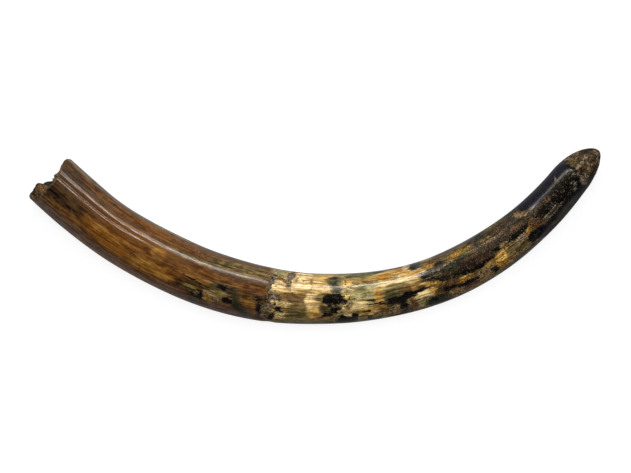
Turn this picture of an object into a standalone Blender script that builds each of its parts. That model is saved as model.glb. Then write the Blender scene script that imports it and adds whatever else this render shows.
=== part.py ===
"""A mammoth tusk lying on its side: one curved, tapering, hollow-rooted piece of fossil ivory.

Metres, +Z up. The tusk lies on the plane z = 0, with the plane of its curve level. +X runs
from the root end, which is broken off and hollow, to the worn tip, and the curve opens
towards +Y. The origin is under the middle of the tusk's box.

The tusk is lofted straight first, along +X, as rings: out of the pulp cavity, over the broken
rim, along the outside and round the tip. A curve then bends it. Along the straight tusk a
place is given by its station, the distance from the root end, and by its angle about the
axis: 0 degrees faces the inside of the curve, 90 up, 180 the outside and 270 the ground.
"""

import math

import bmesh
import bpy
from mathutils import Vector, noise

MM = 0.001

# ---- Driving dimensions, in millimetres and degrees ----

# The middle line seen from above: x, y and heading, from the root end to past the tip.
MIDDLE_LINE = (
    (-478.1, 105.5, -43.5),
    (-408.4, 43.7, -40),
    (-238.8, -58.4, -24.5),
    (4.4, -113.2, -1),
    (251.9, -65.5, 25),
    (449, 89.5, 51.2),
    (521.8, 180, 51.2),
)
TUSK_END = 1140.5  # station of the very tip
# Station and radius: thickest over the root half, then two long tapers.
RADIUS = (
    (0, 50.3),
    (60, 50.6),
    (140, 49.6),
    (240, 51.0),
    (350, 51.0),
    (440, 49.4),
    (540, 45.7),
    (700, 42.5),
    (870, 41.5),
    (990, 37.3),
    (1060, 35.1),
    (1140, 33.4),
)
# Station and rise: the tip end lifts clear of the ground.
LIFT = ((0, 0), (820, 0), (900, 1.0), (1000, 6), (1140, 17))

# The broken root end: angle and station of its outer and inner edges.
OUTER_EDGE = (
    (0, 4.5),
    (22, 2),
    (42, 3),
    (58, 9.5),
    (72, 15),
    (90, 16.5),
    (110, 15),
    (126, 17.5),
    (142, 16.5),
    (156, 12),
    (168, 2),
    (181, -3.5),
    (215, -4.5),
    (238, -4.5),
    (254, -1.5),
    (270, 5),
    (290, 12),
    (312, 9),
    (336, 5),
)
INNER_EDGE = (
    (0, 6),
    (30, 6),
    (58, 11),
    (76, 12),
    (90, 15.5),
    (104, 15),
    (114, 4),
    (124, -4.5),
    (140, -6),
    (160, -6),
    (188, -5.5),
    (236, -4),
    (254, 0),
    (272, 8),
    (290, 14),
    (312, 11),
    (336, 7),
)
EDGE_RAGGED = 1.6  # how far the broken edges wander
EDGE_WAVES = (9, 4)  # widths of the coarse and the fine waves in them
EDGE_FINE = 0.6  # the fine waves beside the coarse ones
EDGE_FADE = 55  # the rings settle square to the axis over this length
WALL = 18  # thickness of the broken wall
WALL_ROUGH = 2  # unevenness of the break itself
WALL_GRAIN = 6
CAVITY_DEPTH = 225
CAVITY_TAPER = 1.25  # 1 is a plain cone, more is rounder
CAVITY_UNEVEN = 0.8
CAVITY_WAVE = 40
CAVITY_GRAIN = 14

# Raised ribs that run from the root: angle, height, half width in degrees, length.
RIBS = (
    (63, 2.0, 6.5, 300),
    (83, 2.0, 7.0, 330),
    (128, 0.9, 9.0, 240),
    (172, 1.1, 8.0, 290),
    (217, 1.5, 9.0, 330),
    (318, 1.3, 8.0, 280),
)
# The hollows between them: angle, depth, half width in degrees, length.
FURROWS = (
    (44, 2.6, 10.0, 420),
    (72, 1.4, 3.5, 250),
    (104, 0.9, 8.0, 200),
    (195, 1.2, 9.0, 300),
    (340, 1.6, 10.0, 360),
)
EVEN_LENGTH = 0.25  # a rib or furrow keeps its full height over this share of its length
# Chips and pits: station, angle, radius, depth.
PITS = (
    (470, 137, 13, 2.2),
    (486, 104, 9, 1.4),
    (497, 62, 11, 1.6),
    (520, 46, 9, 1.3),
    (462, 176, 11, 1.8),
    (478, 212, 13, 1.9),
    (488, 326, 12, 1.8),
    (586, 128, 10, 1.6),
    (592, 88, 8, 1.1),
    (733, 128, 14, 1.6),
    (742, 190, 13, 1.7),
    (700, 210, 12, 1.4),
    (893, 134, 9, 2.0),
    (965, 110, 16, 1.4),
    (1004, 96, 14, 1.2),
    (930, 206, 14, 1.5),
    (812, 330, 13, 1.3),
)
PIT_FLOOR = 0.25  # the flat middle of a pit, as a share of its radius
SWELLS = 0.7  # the soft unevenness of the grown surface
SWELL_LENGTH = 85
SWELL_WIDTH = 30
GROUND_FROM = 0.55  # the underside is plain from here to
GROUND_FULL = 0.85  # here, as the sine of the angle below the axis

# The worn tip: it narrows to a pole that sits low and to the outside of the curve.
POLE_OUTWARDS = 8
POLE_HEIGHT = 23
POLE_SHIFT = 1036  # station where the axis leaves the middle
TIP_INSIDE = 1061  # stations where each side begins to close on the pole
TIP_OUTSIDE = 1080
TIP_TOP = 1074
TIP_UNDER = 1092
TIP_ROUND = 1.8  # 2 is an ellipse
TIP_TOP_ROUND = 1.45  # flatter, where the tip is worn to a slope
TIP_STEP = 1.6  # the worn slope lies this much below the old surface
TIP_STEP_AT = 1083
TIP_STEP_RUN = 9  # length of the step between the two
TIP_SLOPE_FACES = (-0.2, 0.35)  # the slope faces up: sines of the angles where it fades in
TIP_LUMPS = 1.3
TIP_LUMP_SIZE = 11
TIP_CALM = 8  # the lumps fade out this close to the pole
MEAN_RADIUS = 45  # for the width of waves around the tusk

SHARP_EDGES = 40  # edges that turn by more than this many degrees are shaded sharp
WELD = 0.02  # points of a ring this close together are one, as at the two poles
SIDES = 60
RIM_RINGS = (0, 5, 11, 18, 27)
RING_SPACING = 19.5
TIP_RINGS = 11
CAVITY_RINGS = 9
LINE_STEPS = 64  # steps of the middle line between two of its points
LINE_TAIL = 10  # handle length at its two ends

FOSSIL_BROWN = (0.20, 0.105, 0.042, 1)


def through(knots, x):
    """A smooth curve through knots of x and y, level beyond its ends."""
    if x <= knots[0][0]:
        return knots[0][1]
    if x >= knots[-1][0]:
        return knots[-1][1]
    i = next(n for n in range(1, len(knots)) if knots[n][0] >= x)

    def slope(n):
        before = knots[max(n - 1, 0)]
        after = knots[min(n + 1, len(knots) - 1)]
        return (after[1] - before[1]) / (after[0] - before[0])

    (x0, y0), (x1, y1) = knots[i - 1], knots[i]
    run = x1 - x0
    t = (x - x0) / run
    rest = 1 - t
    ends = y0 * (1 + 2 * t) * rest * rest + y1 * t * t * (3 - 2 * t)
    return ends + run * (slope(i - 1) * t * rest * rest - slope(i) * t * t * rest)


def around(knots, angle):
    """A smooth closed curve through knots of angle and value."""
    lap = [(a + turn, v) for turn in (-360, 0, 360) for a, v in knots]
    return through(lap, angle % 360)


def smooth(x, start, end):
    t = min(max((x - start) / (end - start), 0), 1)
    return t * t * (3 - 2 * t)


def apart(a, b):
    """How far two angles are apart, in degrees."""
    return abs((a - b + 180) % 360 - 180)


def direction(angle):
    return math.cos(math.radians(angle)), math.sin(math.radians(angle))


def waver(station, angle, along, across, seed):
    """Even noise over the straight tusk, between about -1 and 1, with no seam at 0 degrees."""
    c, s = direction(angle)
    width = MEAN_RADIUS / across
    return noise.noise(Vector((station / along, c * width, s * width + 17.3 * seed)))


def broken_edge(knots, angle, seed):
    coarse, fine = EDGE_WAVES
    ragged = waver(0, angle, 1, coarse, seed) + EDGE_FINE * waver(0, angle, 1, fine, seed + 1)
    return around(knots, angle) + EDGE_RAGGED * ragged


def ridge(station, angle, at, half_width, length):
    """1 on a ridge's crest at the root, falling away to its sides and along its length."""
    side = apart(angle, at) / half_width
    return math.exp(-side * side) * (1 - smooth(station, EVEN_LENGTH * length, length))


def pit(station, angle, at, angle_at, radius):
    """1 in the middle of a pit, 0 at its edge."""
    along = station - at
    across = math.radians(apart(angle, angle_at)) * through(RADIUS, at)
    return 1 - smooth(math.hypot(along, across), PIT_FLOOR * radius, radius)


def relief(station, angle):
    """How far the outside stands proud of its plain radius."""
    height = SWELLS * waver(station, angle, SWELL_LENGTH, SWELL_WIDTH, 3)
    for at, rise, half_width, length in RIBS:
        height += rise * ridge(station, angle, at, half_width, length)
    for at, depth, half_width, length in FURROWS:
        height -= depth * ridge(station, angle, at, half_width, length)
    for at, angle_at, radius, depth in PITS:
        height -= depth * pit(station, angle, at, angle_at, radius)
    on_tip = smooth(station, TIP_STEP_AT - TIP_STEP_RUN / 2, TIP_STEP_AT + TIP_STEP_RUN / 2)
    facing_up = smooth(direction(angle)[1], *TIP_SLOPE_FACES)
    lumps = TIP_LUMPS * waver(station, angle, TIP_LUMP_SIZE, TIP_LUMP_SIZE, 5)
    near_pole = smooth(station, TUSK_END - TIP_CALM, TUSK_END)
    height += on_tip * facing_up * (lumps - TIP_STEP) * (1 - near_pole)
    on_ground = smooth(-direction(angle)[1], GROUND_FROM, GROUND_FULL)
    return height * (1 - on_ground)


def closing(station, start, roundness):
    """1 up to start, then down to 0 at the very tip, like the side of a rounded cap."""
    t = min(max((station - start) / (TUSK_END - start), 0), 1)
    return (1 - t**roundness) ** (1 / roundness)


def outside(station, angle):
    """A point on the outside of the straight tusk."""
    radius = through(RADIUS, station)
    shift = smooth(station, POLE_SHIFT, TUSK_END)
    axis_y = -POLE_OUTWARDS * shift
    axis_z = radius + (POLE_HEIGHT - radius) * shift
    c, s = direction(angle)
    proud = relief(station, angle)
    if c > 0:
        reach_y = (radius - axis_y) * closing(station, TIP_INSIDE, TIP_ROUND)
    else:
        reach_y = (radius + axis_y) * closing(station, TIP_OUTSIDE, TIP_ROUND)
    if s > 0:
        reach_z = (2 * radius - axis_z) * closing(station, TIP_TOP, TIP_TOP_ROUND)
    else:
        reach_z = axis_z * closing(station, TIP_UNDER, TIP_ROUND)
    y = axis_y + c * (reach_y + proud * min(1, reach_y / radius))
    z = axis_z + s * (reach_z + proud * min(1, reach_z / radius))
    return Vector((station, y, z + through(LIFT, station)))


def outside_ring(station):
    """A ring of the outside, which follows the broken edge where it is near it."""
    ring = []
    for angle in ring_angles():
        edge = broken_edge(OUTER_EDGE, angle, 1)
        fade = 1 - smooth(station, 0, EDGE_FADE)
        ring.append(outside(station + edge * fade, angle))
    return ring


def wall_ring():
    """The ring half way across the broken wall, rougher than its edges."""
    ring = []
    for angle in ring_angles():
        outer = broken_edge(OUTER_EDGE, angle, 1)
        inner = broken_edge(INNER_EDGE, angle, 2)
        station = (outer + inner) / 2 + WALL_ROUGH * waver(0, angle, 1, WALL_GRAIN, 6)
        ring.append(inside(station, angle, WALL / 2))
    return ring


def inside(station, angle, depth):
    """A point this deep under the outside."""
    c, s = direction(angle)
    radius = through(RADIUS, station)
    return Vector((station, c * (radius - depth), radius + s * (radius - depth)))


def cavity_ring(way_in):
    """A ring of the pulp cavity, from its edge at 0 to its end at 1."""
    ring = []
    for angle in ring_angles():
        edge = broken_edge(INNER_EDGE, angle, 2)
        station = edge + (CAVITY_DEPTH - edge) * way_in
        open_radius = through(RADIUS, station) - WALL
        open_radius *= 1 - way_in**CAVITY_TAPER
        uneven = CAVITY_UNEVEN * waver(station, angle, CAVITY_WAVE, CAVITY_GRAIN, 7)
        open_radius += uneven * (1 - way_in)
        ring.append(inside(station, angle, through(RADIUS, station) - open_radius))
    return ring


def ring_angles():
    return [360 * n / SIDES for n in range(SIDES)]


def rings():
    """All the rings of the loft, from the end of the cavity to the very tip."""
    found = [cavity_ring(1 - n / CAVITY_RINGS) for n in range(CAVITY_RINGS + 1)]
    found.append(wall_ring())
    found += [outside_ring(station) for station in RIM_RINGS]
    first, last = RIM_RINGS[-1], TIP_INSIDE
    count = round((last - first) / RING_SPACING)
    found += [outside_ring(first + (last - first) * n / count) for n in range(1, count)]
    for n in range(TIP_RINGS + 1):
        way = math.sin(math.radians(90 * n / TIP_RINGS))
        found.append(outside_ring(last + (TUSK_END - last) * way))
    return found


def loft(name, collection):
    """One closed skin over the rings: each ring is extruded from the one before it."""
    shape = bmesh.new()
    ring = bmesh.ops.create_circle(shape, segments=SIDES, radius=1, cap_ends=False)["verts"]
    edges = list(shape.edges)
    for n, places in enumerate(rings()):
        if n:
            grown = bmesh.ops.extrude_edge_only(shape, edges=edges)["geom"]
            new_edges = [g for g in grown if isinstance(g, bmesh.types.BMEdge)]
            new_verts = {g for g in grown if isinstance(g, bmesh.types.BMVert)}
            ring = [above(vert, new_verts) for vert in ring]
            edges = [e for e in new_edges if e.verts[0] in new_verts and e.verts[1] in new_verts]
        for vert, place in zip(ring, places):
            vert.co = place * MM
    bmesh.ops.remove_doubles(shape, verts=shape.verts, dist=WELD * MM)
    bmesh.ops.recalc_face_normals(shape, faces=shape.faces)
    bmesh.ops.triangulate(shape, faces=shape.faces)
    mesh = bpy.data.meshes.new(name)
    shape.to_mesh(mesh)
    shape.free()
    tusk = bpy.data.objects.new(name, mesh)
    collection.objects.link(tusk)
    return tusk


def above(vert, new_verts):
    """The vertex that was extruded from this one."""
    return next(e.other_vert(vert) for e in vert.link_edges if e.other_vert(vert) in new_verts)


def handle(here, there):
    """The length of the handles that make a smooth arc between two points of the middle line."""
    distance = math.dist(here[:2], there[:2])
    turn = math.radians(there[2] - here[2])
    return distance / (3 * math.cos(turn / 4) ** 2)


def middle_line(collection):
    """The curve that the straight tusk is bent along."""
    curve = bpy.data.curves.new("middle_line", "CURVE")
    curve.dimensions = "3D"
    curve.twist_mode = "Z_UP"
    curve.resolution_u = LINE_STEPS
    spline = curve.splines.new("BEZIER")
    spline.bezier_points.add(len(MIDDLE_LINE) - 1)
    for n, (point, place) in enumerate(zip(spline.bezier_points, MIDDLE_LINE)):
        x, y, heading = place
        c, s = direction(heading)
        centre = Vector((x, y, 0))
        ahead = Vector((c, s, 0))
        before = handle(MIDDLE_LINE[n - 1], place) if n else LINE_TAIL
        after = handle(place, MIDDLE_LINE[n + 1]) if n + 1 < len(MIDDLE_LINE) else LINE_TAIL
        point.handle_left_type = "FREE"
        point.handle_right_type = "FREE"
        point.co = centre * MM
        point.handle_left = (centre - ahead * before) * MM
        point.handle_right = (centre + ahead * after) * MM
    guide = bpy.data.objects.new("middle_line", curve)
    guide.hide_render = True
    guide.display_type = "WIRE"
    collection.objects.link(guide)
    return guide


def bend(tusk, guide):
    modifier = tusk.modifiers.new("Bend along the middle line", "CURVE")
    modifier.object = guide
    modifier.deform_axis = "POS_X"


def fossil_ivory():
    material = bpy.data.materials.new("fossil_ivory")
    material.use_nodes = True
    shader = material.node_tree.nodes["Principled BSDF"]
    shader.inputs["Base Color"].default_value = FOSSIL_BROWN
    shader.inputs["Roughness"].default_value = 0.38
    shader.inputs["Metallic"].default_value = 0
    return material


def new_collection(name):
    collection = bpy.data.collections.new(name)
    bpy.context.scene.collection.children.link(collection)
    return collection


def main():
    for old in list(bpy.data.objects):
        bpy.data.objects.remove(old, do_unlink=True)
    tusk = loft("tusk", new_collection("mammoth_tusk"))
    tusk.data.materials.append(fossil_ivory())
    tusk.data.shade_smooth()
    tusk.data.set_sharp_from_angle(angle=math.radians(SHARP_EDGES))
    bend(tusk, middle_line(new_collection("guides")))


main()
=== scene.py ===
"""The looks of a mammoth tusk: fossil ivory, stained brown, cream, ochre and black by minerals.

The tusk is modelled straight along +X, as a tube of rings that runs from the end of the pulp
cavity over the broken rim and along the outside to the tip. A place on it is given by its
station, the distance in millimetres from the root end, and by its angle in degrees about the
axis: 0 faces the inside of the curve, 90 up, 180 the outside and 270 the ground. Its stains are
painted while it is straight, and then a curve bends it to its place in the frame.
"""

import math

import bpy
import numpy as np
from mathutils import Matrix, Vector, noise


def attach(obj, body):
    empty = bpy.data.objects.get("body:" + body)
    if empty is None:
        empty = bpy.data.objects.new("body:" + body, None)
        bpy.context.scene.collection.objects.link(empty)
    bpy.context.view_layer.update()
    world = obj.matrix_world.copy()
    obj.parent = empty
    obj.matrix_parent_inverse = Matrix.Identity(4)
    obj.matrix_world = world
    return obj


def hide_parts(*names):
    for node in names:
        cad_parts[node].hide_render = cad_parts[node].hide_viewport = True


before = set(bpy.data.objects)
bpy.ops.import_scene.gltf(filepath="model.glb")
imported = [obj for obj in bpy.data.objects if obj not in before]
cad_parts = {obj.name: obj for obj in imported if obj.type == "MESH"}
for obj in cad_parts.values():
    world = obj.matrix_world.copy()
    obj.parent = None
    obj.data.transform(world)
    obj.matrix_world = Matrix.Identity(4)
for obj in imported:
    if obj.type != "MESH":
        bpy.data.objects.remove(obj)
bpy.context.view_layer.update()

MM = 0.001

# ---- The grown shape, in millimetres and degrees ----

# The middle line seen from above: x, y and heading, from the root end to past the tip.
MIDDLE_LINE = (
    (-478.1, 105.5, -43.5),
    (-408.4, 43.7, -40),
    (-238.8, -58.4, -24.5),
    (4.4, -113.2, -1),
    (251.9, -65.5, 25),
    (449, 89.5, 51.2),
    (521.8, 180, 51.2),
)
LINE_STEPS = 64
LINE_TAIL = 10
TUSK_END = 1140.5
RADIUS = (
    (0, 50.3), (60, 50.6), (140, 49.6), (240, 51.0), (350, 51.0), (440, 49.4), (540, 45.7),
    (700, 42.5), (870, 41.5), (990, 37.3), (1060, 35.1), (1140, 33.4),
)
LIFT = ((0, 0), (820, 0), (900, 1.0), (1000, 6), (1140, 17))
MEAN_RADIUS = 45

# The broken root end: angle and station of its outer and inner edges.
OUTER_EDGE = (
    (0, 4.5), (22, 2), (42, 3), (58, 9.5), (72, 15), (90, 16.5), (110, 15), (126, 17.5),
    (142, 16.5), (156, 12), (168, 2), (181, -3.5), (215, -4.5), (238, -4.5), (254, -1.5),
    (270, 5), (290, 12), (312, 9), (336, 5),
)
INNER_EDGE = (
    (0, 6), (30, 6), (57, 11), (62, 8), (67, 7.5), (72, 7.5), (77, 11), (82, 10), (88, 14),
    (96, 15.5), (104, 15), (114, 4), (124, -4.5), (140, -6), (160, -6), (188, -5.5), (236, -4),
    (254, 0), (272, 8), (290, 14), (312, 11), (336, 7),
)
EDGE_RAGGED = 1.6  # they waver by about this much, in waves of these sizes
EDGE_WAVES = (9, 4)
EDGE_FINE = 0.6  # the share of the finer waves
EDGE_FADE = 55  # from here on, the rings are level
EDGE_ROUND = 1.1  # the outer edge of the break is worn this much, over this length
EDGE_ROUND_RUN = 3
WALL = 18
CAVITY_DEPTH = 225
CAVITY_TAPER = 1.25  # 1 is a straight cone, more is rounder at its end
CAVITY_UNEVEN = 0.8
CAVITY_WAVE = 40
CAVITY_GRAIN = 14

# Raised ribs that run from the root: angle, height, half width in degrees, length, and for a
# flat-topped one how square it is.
RIBS = (
    (60.5, 1.6, 9.5, 300, 8),
    (79, 1.6, 5.5, 330),
    (128, 0.9, 9.0, 240),
    (172, 1.1, 8.0, 290),
    (217, 1.5, 9.0, 330),
    (318, 1.3, 8.0, 280),
)
# The hollows between them: angle, depth, half width in degrees, length.
FURROWS = (
    (44, 2.6, 10.0, 420),
    (70.5, 1.6, 3.2, 250),
    (60.5, 0.35, 5.0, 300),
    (104, 0.9, 8.0, 200),
    (195, 1.2, 9.0, 300),
    (340, 1.6, 10.0, 360),
)
EVEN_LENGTH = 0.25  # both keep their full height over this share of their length
# Chips and pits: station, angle, radius, depth.
PITS = (
    (470, 137, 13, 2.2), (486, 104, 9, 1.4), (497, 62, 11, 1.6), (520, 46, 9, 1.3),
    (462, 176, 11, 1.8), (478, 212, 13, 1.9), (488, 326, 12, 1.8), (586, 128, 10, 1.6),
    (592, 88, 8, 1.1), (733, 128, 14, 1.6), (742, 190, 13, 1.7), (700, 210, 12, 1.4),
    (893, 134, 9, 2.0), (965, 110, 16, 1.4), (1004, 96, 14, 1.2), (930, 206, 14, 1.5),
    (812, 330, 13, 1.3),
)
PIT_FLOOR = 0.25  # the share of its radius over which a pit is level
SWELLS = 0.7  # slow swells and hollows all over
SWELL_LENGTH = 85
SWELL_WIDTH = 30
GROUND_FROM = 0.55  # the relief fades as the surface turns to the ground, which it lies on
GROUND_FULL = 0.85

# The worn tip. Its very end lies outwards of the axis and low, and the shift begins before it.
POLE_OUTWARDS = 8
POLE_HEIGHT = 23
POLE_SHIFT = 1036
# The station where each side begins to round off, and how round it is: 2 is an ellipse.
TIP_INSIDE = 1061
TIP_OUTSIDE = 1080
TIP_TOP = 1074
TIP_UNDER = 1092
TIP_ROUND = 1.8
TIP_TOP_ROUND = 1.45
# The worn slope on top is a step lower, and lumpy.
TIP_STEP = 1.6
TIP_STEP_AT = 1083
TIP_STEP_RUN = 9
TIP_SLOPE_FACES = (-0.2, 0.35)  # how far up the surface faces, from none of it to all
TIP_LUMPS = 1.3
TIP_LUMP_SIZE = 11
TIP_CALM = 8

# ---- The fine surface ----

SIDES = 192
ROOT_RINGS = 20  # close together, along the broken edge
ROOT_RUN = 32
BODY_RINGS = 348
TIP_RINGS = 40
WALL_RINGS = 11
CAVITY_RINGS = 30
OUTER_RINGS = ROOT_RINGS + BODY_RINGS + TIP_RINGS
FIRST_CUT = 4  # the outer tube is cut into so many lengths first, and then each of them
PLAIN_RADIUS = 0.05  # the tube before it is shaped
INNER_REACH = 0.9  # nearer to the axis than this share of the radius, an edge is in the cavity
SMOOTH_UP_TO = 62  # a sharper edge than this stays sharp

# Small pits: station, angle, radius, depth.
SMALL_PITS = (
    (167, 104, 3.5, 0.7), (239, 100, 4, 0.8), (475, 118, 8, 1.3), (502, 45, 4, 0.8),
    (515, 42, 4, 0.8), (532, 48, 5, 0.9), (598, 96, 4, 0.7), (601, 58, 4, 0.9), (607, 68, 4, 0.7),
    (595, 30, 4, 0.8), (603, 110, 5, 0.9), (600, 22, 4, 0.7), (615, 88, 3.5, 0.8),
    (630, 130, 7, 0.9), (637, 101, 5, 0.7), (862, 133, 7, 1.6), (1131, 103, 6, 2.2),
    (1110, 122, 7, 1.2), (1102, 70, 6, 0.9), (380, 205, 5, 0.9), (548, 224, 6, 1.0),
    (660, 186, 5, 0.9), (240, 222, 4, 0.8), (995, 200, 6, 1.0), (330, 330, 5, 0.8),
    (560, 345, 5, 0.9), (905, 350, 6, 1.0),
)
# Cracks: station and angle of one end, station and angle of the other, depth.
CRACKS = (
    (1088, 60, 1104, 82, 0.8),
    (1104, 82, 1118, 94, 1.0),
    (1106, 104, 1120, 92, 1.1),
    (1092, 116, 1108, 104, 0.8),
    (1108, 104, 1128, 112, 0.7),
    (1096, 132, 1118, 120, 0.8),
)
CRACK_WIDTH = 2.6
GRAIN = 0.16  # height of the lengthwise unevenness that can be felt
GRAIN_LENGTH = 110
GRAIN_WIDTH = 5.5
LINES = 0.42  # the fine raised lines beside the two ribs at the root
LINES_LENGTH = 170
LINES_WIDTH = 3.1
LINES_FROM = (52, 57)
LINES_TO = (84, 92)
LINES_FADE = (120, 250)
CRUST_HEIGHT = 0.75
CRUST_SIZE = 5
CRUST_EDGE = (0.45, 0.62)  # the crust stands up where its stain is this strong
BREAK_ROUGH = 2.6
BREAK_SIZE = 6
BREAK_FINE = 0.5  # the finer part of the break's roughness: its share and its size
BREAK_FINE_SIZE = 0.4
BREAK_FLAT = 0.7  # less than 1 keeps it rough nearly to the edges
TIP_ROUGH = 0.9
TIP_GRAIN = 4.5
SEED_STEP = 17.3  # how far apart two noises are read

# ---- Stains ----

# Each kind of stain: its deep and its pale tone in sRGB, its roughness, the size of the bays and
# tongues along its edge in millimetres, how much longer than wide they are, how soft the edge
# is, and what varies its tone: the streaks of the ivory or the grains of a crust.
KINDS = {
    "umber": ((38, 25, 12), (80, 56, 30), 0.21, 4, 6.0, 0.18, "streaks"),
    "soot": ((16, 8, 5), (46, 28, 19), 0.21, 4, 6.0, 0.34, "streaks"),
    "smoke": ((26, 22, 17), (64, 56, 46), 0.21, 4, 4.5, 0.18, "streaks"),
    "chestnut": ((66, 38, 14), (114, 73, 33), 0.19, 5, 5.0, 0.18, "streaks"),
    "amber": ((80, 42, 6), (126, 76, 22), 0.19, 5, 5.0, 0.18, "streaks"),
    "honey": ((118, 75, 22), (164, 116, 50), 0.19, 5, 4.5, 0.22, "streaks"),
    "mauve": ((68, 43, 26), (122, 84, 54), 0.22, 6, 3.0, 0.22, "streaks"),
    "olive": ((66, 52, 26), (132, 108, 62), 0.21, 4, 5.0, 0.12, "streaks"),
    "gold": ((160, 113, 46), (236, 192, 106), 0.19, 4, 6.0, 0.13, "streaks"),
    "orange": ((136, 90, 28), (214, 154, 62), 0.20, 4, 4.5, 0.2, "streaks"),
    "cream": ((188, 150, 88), (255, 226, 162), 0.19, 4, 6.0, 0.12, "streaks"),
    "sage": ((102, 94, 50), (174, 160, 108), 0.19, 5, 5.0, 0.2, "streaks"),
    "moss": ((46, 44, 18), (116, 104, 50), 0.20, 4, 5.5, 0.2, "streaks"),
    "tan": ((68, 53, 32), (158, 129, 88), 0.42, 4, 2.6, 0.09, "grains"),
    "ochre": ((126, 84, 27), (198, 150, 62), 0.34, 5, 2.8, 0.16, "grains"),
    "rust": ((56, 36, 20), (118, 82, 46), 0.36, 4, 3.0, 0.14, "grains"),
    "grit": ((10, 8, 6), (74, 60, 44), 0.36, 4, 3.0, 0.12, "grains"),
    "teal": ((6, 12, 9), (37, 50, 39), 0.21, 4, 3.6, 0.24, "grains"),
    "navy": ((2, 3, 13), (13, 15, 31), 0.37, 5, 3.0, 0.14, "grains"),
    "black": ((1, 1, 1), (22, 20, 15), 0.22, 3.5, 3.2, 0.05, "grains"),
    "slate": ((36, 31, 24), (146, 130, 108), 0.50, 3, 1.3, 0.07, "grains"),
    "crust": ((66, 51, 34), (168, 145, 110), 0.62, 3.5, 1.3, 0.05, "grains"),
}
ROUGH_KINDS = ("slate", "crust")  # their grains stand up
KIND_SEED = 7.7  # the step between the noises of two kinds
RAGGED = 0.55  # how strongly the noise moves a stain's edge
STAIN_REACH = 12  # how far past its edge a stain is still known, in millimetres
STAIN_SQUARE = 2.8  # 2 is an ellipse, more fills the corners
# The stains' outlines wander: station length and width of the waves, how far along, how far around.
STAIN_WAVES = ((28, 15, 5, 4), (9, 6, 3, 3))

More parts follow.
